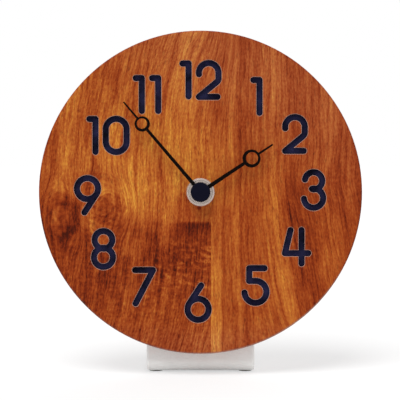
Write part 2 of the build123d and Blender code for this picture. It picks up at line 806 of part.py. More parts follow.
def make_crystal():
    """Metal can lying on the board's front side, with its two leads bent to the board."""
    x, y = crystal_place()
    board_face = movement_face - board_near
    height = board_face + crystal_radius + running_gap
    axis_plane = Plane(origin=(x, y, height), z_dir=(0, 1, 0))
    can = extrude(axis_plane * Circle(crystal_radius), crystal_length)
    can = fillet(can.edges().group_by(Axis.Y)[-1], crystal_radius / 4)
    for lead_x in (x - crystal_lead_spacing / 2, x + crystal_lead_spacing / 2):
        root = Vector(lead_x, y + crystal_radius / 2, height)
        corner = Vector(lead_x, y - crystal_lead_length, height)
        foot = Vector(lead_x, y - crystal_lead_length, board_face)
        path = FilletPolyline(root, corner, foot, radius=2 * crystal_lead_radius)
        can += sweep(Plane(origin=root, z_dir=path % 0) * Circle(crystal_lead_radius), path=path)
    return can


def make_chip():
    """Round drop of sealing resin over the driver chip, on the board's front side."""
    place = ((board_left + board_right) / 2, (board_bottom + setting_place[1]) / 2)
    drop = rod(place, chip_radius, board_near - chip_height, board_near)
    return fillet(drop.edges().group_by(Axis.Z)[-1], chip_round)


def contact_strip(outer_x, inner_x):
    """Flat contact at one end of the bay, with a neck that passes the bay wall."""
    low, high = sorted((outer_x, inner_x))
    half = contact_width / 2
    strip = deep(plate(low, high, battery_y - half, bay_top), battery_depth - half, board_far)
    strip -= deep(plate(low - cut_overrun, high + cut_overrun, battery_y + half, bay_top + cut_overrun),
                  battery_depth - half - cut_overrun, board_far - 2 * contact_neck)
    neck_top = board_bottom - board_gap
    return strip + deep(plate(low, high, bay_top, neck_top), board_far - contact_neck, board_far)


def make_positive_contact():
    """Flat strip at the cell's knob, folded up beside the board."""
    strip = contact_strip(-room_half_width, -room_half_width + contact_thickness)
    rise = plate(-room_half_width, -room_half_width + contact_thickness, board_bottom - board_gap,
                 board_bottom + contact_width / 2)
    return strip + deep(rise, board_far - contact_neck, board_far)


def make_negative_contact():
    """Strip with a bowed spring at the cell's flat end, and a tail along the wall to the board."""
    strip = contact_strip(room_half_width - contact_thickness, room_half_width)
    tail = plate(board_right - contact_width / 2, room_half_width, bay_wall_top,
                 bay_wall_top + contact_thickness)
    strip += deep(tail, board_far - contact_neck, board_far)
    root = room_half_width - contact_thickness
    crest = battery_right() + contact_gap
    half = contact_width / 2
    flat = spring_width / 4
    near = movement_face - battery_depth + half
    far = movement_face - battery_depth - half
    crest_near = movement_face - battery_depth + flat
    crest_far = movement_face - battery_depth - flat
    bow = Polygon((root, near), (crest, crest_near), (crest, crest_far), (root, far),
                  (root, far + 2 * spring_thickness),
                  (crest + spring_thickness, crest_far + spring_thickness / 2),
                  (crest + spring_thickness, crest_near - spring_thickness / 2),
                  (root, near - 2 * spring_thickness), align=None)
    side = Plane(origin=(0, battery_y + spring_width / 2, 0), x_dir=(1, 0, 0), z_dir=(0, -1, 0))
    return strip + extrude(side * bow, spring_width)


def battery_left():
    return -room_half_width + contact_thickness + contact_gap


def battery_right():
    return battery_left() + battery_length


def battery_cylinder(radius, left, right):
    """A round length along x about the cell's axis."""
    end = Plane(origin=(left, battery_y, movement_face - battery_depth), z_dir=(1, 0, 0))
    return extrude(end * Circle(radius), right - left)


def make_battery_cell():
    """Steel can with its contact knob at the left end."""
    can_radius = battery_diameter / 2 - sleeve_thickness - press_gap
    shoulder = battery_left() + battery_nub_length
    can = battery_cylinder(can_radius, shoulder, battery_right())
    can = fillet(can.edges().filter_by(GeomType.CIRCLE), battery_end_round)
    nub = battery_cylinder(battery_nub_radius, battery_left(), shoulder)
    nub = fillet(nub.edges().group_by(Axis.X)[0], battery_end_round / 2)
    return can + nub


def make_battery_sleeve():
    """Plastic sleeve shrunk round the can, a little short of both ends."""
    left = battery_left() + battery_nub_length + battery_end_round
    right = battery_right() - battery_end_round
    inner = battery_diameter / 2 - sleeve_thickness
    return battery_cylinder(battery_diameter / 2, left, right) - battery_cylinder(inner, left, right)


def case_outline():
    height = case_top - case_bottom
    face = RectangleRounded(2 * case_half_width, height, case_corner_round)
    return Pos(0, case_middle) * face


def finger_notch():
    """What is cut from the bay's bottom wall, where a finger lifts the cell out."""
    edge = Plane(origin=(0, bay_bottom + cut_overrun, movement_face - case_depth), z_dir=(0, -1, 0))
    face = RectangleRounded(finger_notch_width, 2 * finger_notch_depth, finger_notch_round)
    return extrude(edge * face, case_wall + 2 * cut_overrun)


def make_case_front():
    """Moulded tray: a room for the train above, a bay for the cell below, bosses and posts."""
    width = case_half_width + cut_overrun
    tray = deep(case_outline(), 0, case_depth)
    tray = fillet(tray.edges().group_by(Axis.Z)[0], case_edge_round)
    tray = fillet(tray.edges().group_by(Axis.Z)[-1], case_edge_round)
    tray -= deep(plate(-width, width, bay_wall_top, case_top + cut_overrun),
                 lid_near, case_depth + cut_overrun)
    room = plate(-room_half_width, room_half_width, bay_wall_top, room_top)
    tray -= deep(room, case_wall, case_depth + cut_overrun)
    bay = plate(-room_half_width, room_half_width, bay_bottom, bay_top)
    tray -= deep(bay, case_wall, case_depth + cut_overrun)
    tray -= finger_notch()
    notch = contact_thickness + board_gap
    for left in (-room_half_width, room_half_width - notch):
        gap = plate(left, left + notch, bay_top - cut_overrun, bay_wall_top + cut_overrun)
        tray -= deep(gap, board_far - contact_neck - board_gap, case_depth + cut_overrun)
    tray -= rod(hand_axis, stem_radius + press_gap, -cut_overrun, case_wall + cut_overrun)
    tray += rod(minute_wheel_place, minute_post_radius, case_wall, cannon_far + clutch_gap)
    tray += socket_boss(setting_place, thick_pivot_radius, cannon_near - clutch_gap)
    tray += socket_boss(third_place, pivot_radius, third_boss_end)
    for place in (fourth_place, fifth_place, rotor_place):
        tray += socket_boss(place, pivot_radius, train_boss_end)
    for place in bridge_post_places:
        tray += screw_post(place, bridge_near, small_screw_bite)
    for place in stator_post_places:
        tray += screw_post(place, core_near, small_screw_bite)
    for place in board_post_places:
        tray += rod(place, post_radius, case_wall, board_near)
        tray += rod(place, board_pin_radius, board_near, board_far + board_pin_proud)
    return tray


def socket_boss(place, bore_radius, end):
    """Boss on the tray's floor with a blind bore for a pivot."""
    boss = rod(place, boss_radius, case_wall, end)
    bore_start = end - pivot_length - clutch_gap
    return boss - rod(place, bore_radius + running_gap, max(bore_start, case_wall), end)


def screw_post(place, end, bite):
    """Post on the tray's floor with a bore for a small screw."""
    post = rod(place, post_radius, case_wall, end)
    return post - rod(place, small_screw_radius + press_gap, end - bite, end)


def make_lid():
    """Back cover of the train room, with a locating rim and a hollow for the knob."""
    height = case_top - bay_wall_top
    sides = RectangleRounded(2 * case_half_width, height, case_corner_round)
    outline = Pos(0, (case_top + bay_wall_top) / 2) * sides
    half = case_half_width
    outline += plate(-half, half, bay_wall_top + clutch_gap, bay_wall_top + height / 2)
    outline &= plate(-half, half, bay_wall_top + clutch_gap, case_top)
    lid = deep(outline, lid_near, case_depth)
    lid = fillet(lid.edges().group_by(Axis.Z)[0], case_edge_round)
    inner = room_half_width - lid_gap
    low = bay_wall_top + contact_thickness + lid_gap
    high = room_top - lid_gap
    rim = plate(-inner, inner, low, high)
    rim -= plate(lid_rim_wall - inner, inner - lid_rim_wall, low + lid_rim_wall, high - lid_rim_wall)
    lid += deep(rim, lid_near - lid_rim_height, lid_near)
    hollow = knob_diameter / 2 + 2 * end_play
    lid -= rod(setting_place, hollow, case_depth - knob_recess_depth, case_depth + cut_overrun)
    return lid - rod(setting_place, setting_shaft_radius + running_gap, 0, case_depth)


def make_bushing():
    """Threaded brass stem with a flange in front of the tray."""
    stem = between(Circle(stem_radius), movement_face - case_wall, stem_front)
    stem = chamfer(stem.edges().filter_by(GeomType.CIRCLE).group_by(Axis.Z)[-1], nut_edge)
    stem += deep(Circle(bushing_flange_radius), -gasket_thickness, 0)
    return stem - between(Circle(pipe_radius + running_gap), movement_face - case_wall, stem_front)


def make_gasket():
    ring = Circle(gasket_diameter / 2) - Circle(bushing_flange_radius + press_gap)
    return deep(ring, -gasket_thickness, 0)


third_boss_end = centre_near - clutch_gap - end_play
train_boss_end = third_near - end_play

dial_left, dial_right = make_dial()
clock_pieces = {
    "dial_board_left": dial_left,
    "dial_board_right": dial_right,
    "numeral_paint": make_numeral_paint(),
    "stand_screws": make_wood_screws(),
    "fixing_nut": make_nut(),
    "gasket_washer": make_gasket(),
    "stem_bushing": make_bushing(),
    "hour_hand": between(make_hand(hour_hand_length, hour_hand_width, hour_ring_place_share,
                                   hour_ring_radius, pipe_radius + press_gap, hour_hand_turn),
                         hour_hand_back, hour_hand_front),
    "hour_hand_collet": between(Circle(collet_radius) - Circle(pipe_radius + press_gap),
                                collet_back, hour_hand_back),
    "minute_hand": between(make_hand(minute_hand_length, minute_hand_width,
                                     minute_ring_place_share, minute_ring_radius,
                                     minute_tip_radius + press_gap, minute_hand_turn),
                           minute_hand_back, minute_hand_front),
    "hand_cap": make_cap(),
    "case_front": make_case_front(),
    "case_lid": make_lid(),
    "minute_arbor": make_minute_arbor(),
    "clutch_washer": deep(Circle(clutch_washer_radius) - Circle(minute_tail_radius + press_gap),
                          washer_near, washer_far),
    "hour_wheel": make_hour_wheel(),
    "minute_wheel": make_minute_wheel(),
    "setting_arbor": make_setting_arbor(),
    "setting_knob": make_knob(),
    "centre_wheel": make_centre_wheel(),
    "third_wheel": make_train_wheel(third_place, third_wheel_teeth, train_pinion_teeth,
                                    third_module, centre_wheel_teeth, centre_module,
                                    third_pinion_turn, third_near, third_boss_end),
    "fourth_wheel": make_train_wheel(fourth_place, fourth_wheel_teeth, train_pinion_teeth,
                                     fourth_module, third_wheel_teeth, third_module,
                                     fourth_pinion_turn, fourth_near, train_boss_end),
    "fifth_wheel": make_train_wheel(fifth_place, fifth_wheel_teeth, train_pinion_teeth,
                                    fifth_module, fourth_wheel_teeth, fourth_module,
                                    fifth_pinion_turn, fifth_near, train_boss_end),
    "rotor_arbor": make_rotor_arbor(),
    "rotor_magnet": make_magnet(),
    "stator": make_stator(),
    "coil_core": make_coil_core(),
    "coil_bobbin": make_bobbin(),
    "coil_winding": make_winding(),
    "stator_screws": [small_screw(place, stator_far, small_screw_bite)
                      for place in stator_post_places],
    "train_bridge": make_bridge(),
    "bridge_screws": [small_screw(place, bridge_far, small_screw_bite)
                      for place in bridge_post_places],
    "circuit_board": make_board(),
    "quartz_crystal": make_crystal(),
    "driver_chip": make_chip(),
    "positive_contact": make_positive_contact(),
    "negative_contact": make_negative_contact(),
    "battery_cell": make_battery_cell(),
    "battery_sleeve": make_battery_sleeve(),
}
standing_pieces = {"stand": make_stand(), "stand_pads": make_pads()}


def as_list(piece):
    return piece if isinstance(piece, list) else [piece]


# Lean the clock back, then centre the whole part over the origin
solids = {}
for name, piece in clock_pieces.items():
    solids[name] = [lean_frame().location * shape for shape in as_list(piece)]
for name, piece in standing_pieces.items():
    solids[name] = as_list(piece)
whole = Compound([shape for shapes in solids.values() for shape in shapes]).bounding_box()
centring = Pos(0, -(whole.min.Y + whole.max.Y) / 2, 0)

os.makedirs("parts", exist_ok=True)
for name, shapes in solids.items():
    export_step(Compound([centring * shape for shape in shapes]), f"parts/{name}.step")

centre = centring * lean_frame().location
print("case", 2 * case_half_width, "by", case_top - case_bottom, "by", case_depth)
print("hand axis at", (centre * Pos(0, 0, 0)).position)
for label, place in (("minute wheel", minute_wheel_place), ("setting", setting_place),
                     ("third", third_place), ("fourth", fourth_place), ("fifth", fifth_place),
                     ("rotor", rotor_place)):
    print(label, "axis at", (centre * Pos(*place)).position)
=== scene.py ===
import json
import math

import bpy
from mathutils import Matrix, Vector


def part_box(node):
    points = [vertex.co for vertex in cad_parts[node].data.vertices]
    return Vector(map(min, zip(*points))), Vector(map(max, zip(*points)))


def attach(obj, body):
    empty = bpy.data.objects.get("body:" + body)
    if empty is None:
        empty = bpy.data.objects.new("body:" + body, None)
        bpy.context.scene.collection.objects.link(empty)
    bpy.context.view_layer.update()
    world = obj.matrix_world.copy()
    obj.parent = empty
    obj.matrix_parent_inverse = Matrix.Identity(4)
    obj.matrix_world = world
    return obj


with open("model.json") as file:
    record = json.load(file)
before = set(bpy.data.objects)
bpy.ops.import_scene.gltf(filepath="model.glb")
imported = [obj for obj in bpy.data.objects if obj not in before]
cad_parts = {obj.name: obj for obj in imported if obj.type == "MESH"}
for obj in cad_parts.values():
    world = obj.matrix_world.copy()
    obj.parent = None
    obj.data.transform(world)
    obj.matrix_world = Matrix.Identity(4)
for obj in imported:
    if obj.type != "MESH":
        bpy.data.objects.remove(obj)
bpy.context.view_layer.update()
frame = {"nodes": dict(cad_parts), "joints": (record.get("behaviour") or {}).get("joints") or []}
bpy.ops.object.select_all(action="DESELECT")


# The studio is a white table top that runs out into a white surround, under a wide soft lamp and a
# weaker one from behind. The camera looks square at the dial, which leans back, from a metre away.
# None of it is the clock.
hand_joint = next(j for j in frame["joints"] if j["name"] == "minute_spin")
dial_centre = Vector(hand_joint["pos_m"])
outward = -Vector(hand_joint["axis"])
dial_lean = math.asin(outward.z)
dial_up = Vector((0, math.sin(dial_lean), math.cos(dial_lean)))
dial_thickness = 0.010
camera_distance = 1.0
picture_width = 0.204
picture_right = -0.00026
picture_up = -0.00398

camera_data = bpy.data.cameras.new("camera")
camera_data.lens = camera_data.sensor_width * camera_distance / picture_width
camera = bpy.data.objects.new("camera", camera_data)
camera.location = (
    dial_centre
    + outward * (dial_thickness + camera_distance)
    + Vector((picture_right, 0, 0))
    + dial_up * picture_up
)
camera.rotation_euler = (math.pi / 2 - dial_lean, 0, 0)
bpy.context.scene.collection.objects.link(camera)
bpy.context.scene.camera = camera
bpy.context.scene.view_settings.view_transform = "Standard"


def put(tree, kind, values=(), **settings):
    """Adds a node to a material; each value is a number, a colour or another node's output."""
    node = tree.nodes.new(kind)
    for name, value in settings.items():
        setattr(node, name, value)
    for place, value in dict(values).items():
        value = getattr(value, "socket", value)
        if isinstance(value, bpy.types.NodeSocket):
            tree.links.new(value, node.inputs[place])
        else:
            node.inputs[place].default_value = value
    return node


class Field:
    """A number that changes over a surface, in ordinary arithmetic, kept as shader nodes."""

    def __init__(self, socket):
        self.socket = socket
        self.tree = socket.id_data

    def join(self, operation, *terms, clamp=False):
        node = put(self.tree, "ShaderNodeMath", enumerate(terms), operation=operation, use_clamp=clamp)
        return Field(node.outputs[0])

    def __add__(self, other):
        return self.join("ADD", self, other)

    def __sub__(self, other):
        return self.join("SUBTRACT", self, other)

    def __mul__(self, other):
        return self.join("MULTIPLY", self, other)

    def __truediv__(self, other):
        return self.join("DIVIDE", self, other)

    def __rsub__(self, other):
        return self.join("SUBTRACT", other, self)

    __radd__ = __add__
    __rmul__ = __mul__

    def at_least(self, other):
        return self.join("MAXIMUM", self, other)

    def power(self, other):
        return self.join("POWER", self, other)

    def fraction(self):
        return self.join("FRACT", self)

    def sine(self):
        return self.join("SINE", self)

    def size(self):
        """The number without its sign."""
        return (self * self).power(0.5)

    def rise(self, low, high):
        """0 at low and 1 at high, eased between them; low may be the larger one."""
        values = {"Value": self, "From Min": low, "From Max": high}
        node = put(self.tree, "ShaderNodeMapRange", values, interpolation_type="SMOOTHSTEP")
        return Field(node.outputs["Result"])


def seen_directly(tree):
    """1 for the camera, for reflections and for what shows through glass, and 0 for other light."""
    rays = put(tree, "ShaderNodeLightPath")
    seen = Field(rays.outputs["Is Camera Ray"]) + Field(rays.outputs["Is Glossy Ray"])
    return seen.join("ADD", seen, rays.outputs["Is Transmission Ray"], clamp=True)


surround_level = 0.58
world = bpy.data.worlds.new("surround")
world.use_nodes = True
surround = world.node_tree.nodes["Background"]
surround.inputs["Color"].default_value = (1, 1, 1, 1)
level = seen_directly(world.node_tree) * (1 - surround_level) + surround_level
world.node_tree.links.new(level.socket, surround.inputs["Strength"])
bpy.context.scene.world = world

for name, strength, spread, shines_to in (
    ("softbox", 2.1, 32, (0.25, 0.62, -1.1)),
    ("back_light", 0.8, 60, (-0.35, -0.9, -0.5)),
):
    lamp_data = bpy.data.lights.new(name, "SUN")
    lamp_data.energy = strength
    lamp_data.angle = math.radians(spread)
    lamp = bpy.data.objects.new(name, lamp_data)
    lamp.rotation_euler = Vector(shines_to).to_track_quat("-Z", "Y").to_euler()
    bpy.context.scene.collection.objects.link(lamp)

table_radius = 1.5
table_white = (0.9, 0.9, 0.9, 1)
shade_kept = 0.45
bpy.ops.mesh.primitive_circle_add(vertices=96, radius=table_radius, fill_type="NGON", location=(0, 0, 0))
table_top = bpy.context.object
table_top.name = "table_top"
table_paint = bpy.data.materials.new("table_top")
table_paint.use_nodes = True
tree = table_paint.node_tree
matt = put(tree, "ShaderNodeBsdfDiffuse", {"Color": table_white})
white = put(tree, "ShaderNodeEmission", {"Color": (1, 1, 1, 1), "Strength": 1.0})
whitened = seen_directly(tree) * (1 - shade_kept)
mixed = put(tree, "ShaderNodeMixShader", {0: whitened, 1: matt.outputs[0], 2: white.outputs[0]})
tree.links.new(mixed.outputs[0], tree.nodes["Material Output"].inputs["Surface"])
table_top.data.materials.append(table_paint)
table_top.select_set(False)


# The dial is glued up from two planed boards of a warm reddish hardwood, then cut round and oiled.
# A router cuts the numerals 2 mm deep; their walls are painted navy, under a pale sanded lip.
def linear(red, green, blue):
    """A colour as a screen shows it, 0 to 255, as the shader needs it."""
    screen = [c / 255 for c in (red, green, blue)]
    return tuple(c / 12.92 if c <= 0.04045 else ((c + 0.055) / 1.055) ** 2.4 for c in screen) + (1,)


def mottle(x, y, z, detail=2.0, roughness=0.5):
    """Soft noise about 0, mostly within 1, over three fields that are already to scale."""
    place = put(x.tree, "ShaderNodeCombineXYZ", {0: x, 1: y, 2: z})
    values = {"Vector": place.outputs[0], "Scale": 1.0, "Detail": detail, "Roughness": roughness}
    return Field(put(x.tree, "ShaderNodeTexNoise", values).outputs["Fac"]) * 4.0 - 2.0


def distance(x, y):
    """How far a place is from the middle, by its two distances from it."""
    return (x * x + y * y).power(0.5)


def spot(x, y, centre, reach):
    """1 in the middle of an ellipse and 0 at its edge."""
    across = (x - centre[0]) / reach[0]
    along = (y - centre[1]) / reach[1]
    return (across * across + along * along).rise(1.0, 0.0)


def ramp(field, stops):
    """The colour for each value of a field, blended between stops of a value and a colour."""
    low, high = stops[0][0], stops[-1][0]
    node = put(field.tree, "ShaderNodeValToRGB", {"Fac": (field - low) / (high - low)})
    elements = node.color_ramp.elements
    while len(elements) < len(stops):
        elements.new(1.0)
    for element, (value, colour) in zip(elements, stops):
        element.position = (value - low) / (high - low)
        element.color = colour
    return node.outputs["Color"]


def tones(field, stops):
    """A tone for each place across the boards, in millimetres, blended between the stops."""
    return Field(ramp(field, [(place, (tone, tone, tone, 1)) for place, tone in stops]))


def blend(share, under, over):
    """Goes from one value to another as share goes from 0 to 1."""
    return under + share * (over - under)


def mix(tree, share, under, over, blend_type="MIX"):
    """Goes from one colour to another, or tints it, as share goes from 0 to 1."""
    values = {0: share, 6: under, 7: over}
    return put(tree, "ShaderNodeMix", values, data_type="RGBA", blend_type=blend_type).outputs[2]


def dial_place(tree):
    """Millimetres right, up and out of the dial's back face, from the hands' axis."""
    coordinates = put(tree, "ShaderNodeTexCoord")
    values = {
        "Vector": coordinates.outputs["Object"],
        "Location": dial_centre,
        "Rotation": (math.pi / 2 - dial_lean, 0, 0),
        "Scale": (0.001, 0.001, 0.001),
    }
    mapping = put(tree, "ShaderNodeMapping", values, vector_type="TEXTURE")
    parts = put(tree, "ShaderNodeSeparateXYZ", {0: mapping.outputs[0]})
    return [Field(s) for s in parts.outputs]


def new_group(name, inputs, outputs):
    """An empty node group of numbers, and its inputs as fields."""
    group = bpy.data.node_groups.new(name, "ShaderNodeTree")
    for socket_name in inputs:
        group.interface.new_socket(socket_name, in_out="INPUT", socket_type="NodeSocketFloat")
    for socket_name in outputs:
        group.interface.new_socket(socket_name, in_out="OUTPUT", socket_type="NodeSocketFloat")
    start = put(group, "NodeGroupInput")
    return group, [Field(s) for s in start.outputs[: len(inputs)]]


def from_group(tree, group, values):
    """Places a node group in a material with its own values, and gives its outputs as fields."""
    node = put(tree, "ShaderNodeGroup", values, node_tree=group)
    return [Field(s) for s in node.outputs]


grain_group, (across, along, deep) = new_group(
    "wood_grain", ["Across", "Along", "Deep"], ["Streaks", "Lines", "Pores", "Ripple"]
)
broad = mottle(across / 5.0, along / 60.0, deep / 30.0, 2.0)
middle = mottle(across / 1.6, along / 30.0, deep / 14.0, 3.0, 0.65)
fine = mottle(across / 0.9, along / 9.0, deep / 6.0, 2.0, 0.6)
fibre = mottle(across / 0.7, along / 1.7, deep / 2.0, 1.0)
rings = (across / 3.4 + broad * 0.55 + mottle(across / 8.0, along / 50.0, deep / 20.0) * 0.5).fraction()
pore = mottle(across / 0.45 + 31.0, along / 3.6, deep / 3.0, 1.0)
ripple = mottle(across / 4.5 + 7.0, along / 1.5, deep / 6.0, 2.0)
put(
    grain_group,
    "NodeGroupOutput",
    {
        "Streaks": broad * 0.35 + middle * 0.7 + fine * 0.8 + fibre * 0.6,
        "Lines": rings.power(5.0) * rings.rise(1.0, 0.93),
        "Pores": pore.rise(0.35, 1.0),
        "Ripple": ripple,
    },
)

wood_colours = [
    (0.00, linear(62, 14, 1)),
    (0.20, linear(108, 33, 4)),
    (0.40, linear(139, 55, 14)),
    (0.55, linear(157, 74, 25)),
    (0.70, linear(173, 93, 34)),
    (0.85, linear(188, 113, 41)),
    (1.00, linear(206, 139, 52)),
]
rosy_tint = (0.95, 0.97, 1.6, 1)
pore_colour = linear(66, 22, 10)
# The pale lip's colour also serves as the colour of the painted highlight on the lower rim.
lip_and_highlight_colour = linear(172, 134, 118)
groove_colour = linear(10, 10, 32)


def new_material(name):
    """A material with its nodes, its shader and the place on the clock as three fields."""
    material = bpy.data.materials.new(name)
    material.use_nodes = True
    tree = material.node_tree
    return material, tree, tree.nodes["Principled BSDF"], dial_place(tree)


def emboss(tree, height, strength, distance=0.0001):
    """Lets the light pick out a relief that is too fine for the mesh, in metres."""
    relief = put(tree, "ShaderNodeBump", {"Strength": strength, "Distance": distance, "Height": height})
    tree.links.new(relief.outputs[0], tree.nodes["Principled BSDF"].inputs["Normal"])


def dress(material, *node_names):
    """Gives CAD nodes their finish."""
    for node_name in node_names:
        frame["nodes"][node_name].material_slots[0].material = material


# Distances in millimetres, from the hands' axis and out of the dial's back face. Over each pair an
# effect goes from none to full.
dial_radius = 82.5
dial_front = dial_thickness * 1000
numeral_floor = dial_front - 2.0
rim_shade = (dial_radius - 1.1, dial_radius - 0.2)
rim_light = (dial_radius - 1.0, dial_radius - 0.3)
inside_rim = (dial_radius - 2.5, dial_radius - 2.7)
outside_hub = (6.0, 6.2)
rounded_edge = (dial_front - 1.0, dial_front - 0.6)
above_floor = (numeral_floor - 0.6, numeral_floor - 0.5)
under_face = (dial_front - 0.03, dial_front - 0.06)
under_lip = (dial_front - 0.22, dial_front - 0.26)

# Places on the face, in millimetres, over which the wood turns rosier and a painted highlight lightens
# its lower rim.
rosy_slant = 0.6
rosy_above = (15.0, 85.0)
rosy_below = (-62.0, -80.0)
lit_below = (-30.0, -65.0)
lit_across = (-40.0, 20.0)
lit_least = 0.2
lit_more = 0.45

# How much of the tone the figure's parts take, how much a painted shade darkens the rim, and how the
# oiled surface shines.
line_depth = 0.2
ripple_depth = 0.03
rim_shade_depth = 0.12
pore_share = 0.4
oil_roughness = 0.45
paint_roughness = 0.6
wood_relief = 0.0002
wood_specular = 0.08


def finish_wood(tree, shader, tone, contrast, figure, place):
    """Colours a board by its tone, with painted shade and highlight at its rim, and paints the routed
    numerals' walls and lips.
    """
    streaks, lines, pores, ripple = figure
    right, up, out = place
    radius = distance(right, up)
    tone = tone + streaks * contrast - lines * line_depth + ripple * ripple_depth
    # A painted shade darkens the tone all round the rim.
    tone = tone - radius.rise(*rim_shade) * rim_shade_depth
    rosy = (right * rosy_slant + up).rise(*rosy_above).at_least(up.rise(*rosy_below))
    toned = mix(tree, rosy, ramp(tone, wood_colours), rosy_tint, "MULTIPLY")
    pored = mix(tree, pores * pore_share, toned, pore_colour)
    # A painted highlight, in the lip's pale colour, lightens the rounded front edge of the lower rim,
    # more so to the right.
    lit_edge = radius.rise(*rim_light) * up.rise(*lit_below) * out.rise(*rounded_edge)
    lit_share = lit_edge * (right.rise(*lit_across) * lit_more + lit_least)
    lit = mix(tree, lit_share, pored, lip_and_highlight_colour)
    routed = radius.rise(*outside_hub) * radius.rise(*inside_rim)
    routed = routed * out.rise(*above_floor) * out.rise(*under_face)
    paint = mix(tree, out.rise(*under_lip), lip_and_highlight_colour, groove_colour)
    tree.links.new(mix(tree, routed, lit, paint), shader.inputs["Base Color"])
    oiled = oil_roughness + streaks * 0.05 + pores * 0.15
    tree.links.new(blend(routed, oiled, paint_roughness).socket, shader.inputs["Roughness"])
    emboss(tree, streaks * 0.3 - pores, 0.3, wood_relief)
    shader.inputs["Specular IOR Level"].default_value = wood_specular


lean_at_hub = 0.035
lean_growth = 1.47e-5


def grain_lean(up):
    """How far the grain leans aside at a height above the hands' axis, more so near the rim."""
    return lean_at_hub * up + lean_growth * up * up * up


def patched(tone, right, up, edge, patches):
    """Adds lighter and darker patches, each given by its middle, its reach and its change."""
    for centre, reach, change in patches:
        tone = tone + spot(right + edge, up + edge * 0.5, centre, reach) * change
    return tone


# The tone across each board, 0 dark and 1 pale, above and below the hub, and then its patches: the
# middle, the reach and the change of tone of each.
left_contrast = 0.215
left_upper = [
    (-86, 0.47), (-79, 0.49), (-76, 0.42), (-73.5, 0.58), (-71, 0.70), (-68, 0.64), (-65, 0.58),
    (-56, 0.53), (-54.5, 0.38), (-53.5, 0.60), (-50, 0.66), (-46, 0.60), (-42, 0.60), (-35, 0.58),
    (-33.3, 0.46), (-32, 0.62), (-27, 0.66), (-23, 0.64), (-22.2, 0.50), (-21.3, 0.60), (-20.6, 0.52),
    (-19, 0.72), (-16, 0.76), (-10, 0.68), (-5, 0.62), (0, 0.58), (8, 0.56),
]
left_lower = [
    (-86, 0.38), (-75, 0.28), (-66, 0.33), (-60, 0.37), (-54, 0.24), (-52, 0.38), (-46, 0.33),
    (-43, 0.44), (-38, 0.45), (-36, 0.34), (-34, 0.48), (-28, 0.40), (-24, 0.46), (-21, 0.38),
    (-18.5, 0.52), (-16.8, 0.40), (-15.5, 0.52), (-10, 0.44), (-4, 0.50), (0, 0.44), (8, 0.52),
]
left_patches = [
    # The first patch is a painted pool of light round the hub, alike on both boards.
    ((6.0, 12.0), (26.0, 26.0), 0.12), ((-33.5, -2.0), (10.0, 28.0), 0.27),
    ((-25.0, 30.0), (15.0, 24.0), 0.12), ((-62.0, 17.0), (15.0, 13.0), 0.09),
    ((-47.5, 0.0), (4.5, 8.0), 0.10), ((-50.0, -25.0), (8.0, 5.0), 0.16),
    ((-18.0, 9.0), (4.0, 16.0), -0.08), ((-25.0, -19.5), (14.0, 7.0), -0.12),
    ((-43.0, 29.0), (8.0, 18.0), 0.16), ((-44.0, 62.0), (6.0, 20.0), -0.12),
    ((-8.5, 50.0), (9.0, 14.0), 0.10), ((-41.0, -18.0), (16.0, 13.0), -0.20),
    ((-37.5, -26.5), (5.0, 9.0), 0.19), ((-10.5, -8.0), (8.0, 10.0), -0.14),
    ((-23.5, -31.0), (5.0, 13.0), -0.20), ((-68.0, -24.0), (16.0, 10.0), -0.14),
    ((-55.5, -13.0), (3.5, 9.0), 0.10), ((-37.5, 62.0), (4.0, 16.0), 0.08),
    ((-63.5, 49.5), (5.0, 14.0), 0.08), ((-22.2, -3.0), (4.0, 14.0), 0.12),
    ((-40.5, -6.5), (4.0, 6.0), -0.14), ((-51.0, 7.0), (5.0, 6.0), -0.10),
    ((-61.5, -9.0), (4.0, 12.0), -0.10), ((-75.0, -8.0), (5.0, 14.0), -0.14),
    ((-41.0, -57.0), (7.0, 12.0), 0.09), ((-36.0, -40.0), (8.0, 10.0), -0.08),
    ((-23.0, -69.0), (4.0, 14.0), 0.08), ((-11.5, -46.0), (8.0, 7.0), 0.12),
    ((-28.5, -12.0), (4.0, 18.0), -0.08), ((-3.0, 18.0), (7.0, 16.0), 0.09),
    ((-78.0, 4.0), (4.0, 20.0), 0.07), ((-74.5, -30.0), (6.0, 8.0), 0.10),
    ((-53.0, -24.0), (7.0, 5.0), 0.05), ((-70.0, -17.0), (3.5, 12.0), 0.10),
    ((-56.0, -15.0), (4.0, 8.0), 0.07), ((-47.7, -1.5), (3.0, 5.0), 0.12),
    ((-47.7, -10.5), (3.5, 4.5), 0.12), ((-41.0, 14.0), (8.0, 10.0), 0.06),
    ((-45.0, 75.0), (5.0, 10.0), 0.05),
]
knot_centre, knot_reach, knot_half = (-71.2, -12.7), (16.0, 24.0), (6.2, 8.8)
burl_centre, burl_reach = (-49.5, -7.5), (20.0, 22.0)
eye_centre, eye_reach = (-49.0, -8.5), (8.0, 9.0)

# Sway bends the grain slowly. Edge is finer, and makes the outlines of patches uneven.
left_wood, tree, shader, (right, up, out) = new_material("wood_left")
sway = mottle(right / 30.0, up / 38.0, out / 30.0)
edge = mottle(right / 6.0, up / 6.0, out / 6.0, 3.0)
knot_right, knot_up = right - knot_centre[0], up - knot_centre[1]
burl_right, burl_up = right - burl_centre[0], up - burl_centre[1]
knot_near = spot(right, up, knot_centre, knot_reach)
burl_near = spot(right, up, burl_centre, burl_reach)
grain = right - grain_lean(up) + sway * 1.2
grain = grain - knot_near * knot_right * 0.6 - burl_near * burl_right * 0.5
figure = from_group(tree, grain_group, {"Across": grain, "Along": up, "Deep": out})
lower = (up + edge * 4.0).rise(-8.0, -34.0)
tone = blend(lower, tones(grain, left_upper), tones(grain, left_lower))
tone = patched(tone, right, up, edge, left_patches)
slanted = right + edge + up * 0.25
tone = tone - spot(slanted, up, (-57.0, -46.0), (5.0, 22.0)) * 0.14

# The burl: arcs of grain round a dark eye.
burl_size = distance(burl_right, burl_up) + edge * 2.6
tone = tone + (burl_size * 2.1).sine() * burl_near * 0.08
tone = tone - spot(right + edge * 2.5, up + edge * 3.0, eye_centre, eye_reach) * 0.28

